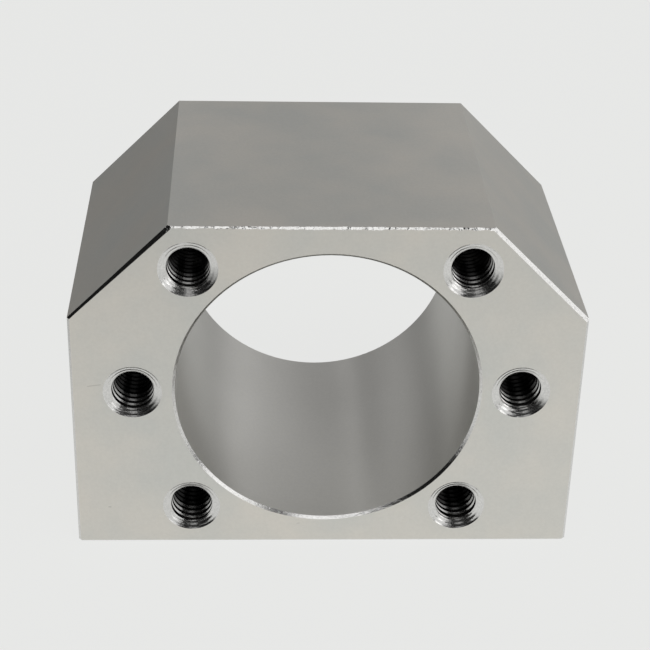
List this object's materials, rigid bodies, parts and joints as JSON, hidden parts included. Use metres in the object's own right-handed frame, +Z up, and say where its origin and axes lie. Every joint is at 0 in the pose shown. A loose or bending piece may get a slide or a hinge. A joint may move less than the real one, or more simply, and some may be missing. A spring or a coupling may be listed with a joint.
{
  "type": "ball screw nut housing",
  "caption": "Machined aluminium block that carries a flanged ball screw nut: a smooth through bore, tapped flange holes round it, cut top corners and a flat mounting base.",
  "frame": {"origin": "middle of the flat mounting face underneath, below the bore's axis and halfway along the bore", "axes": "+X across the block, longest; +Y along the bore, from the flange face to the back; +Z up from the mounting face"},
  "size_m": [0.067, 0.042, 0.048],
  "materials": {
    "machined_aluminium": "satin, finely milled and bored, bare metal"
  },
  "bodies": {
    "root": {"nut_housing": "machined_aluminium"}
  },
  "joints": []
}
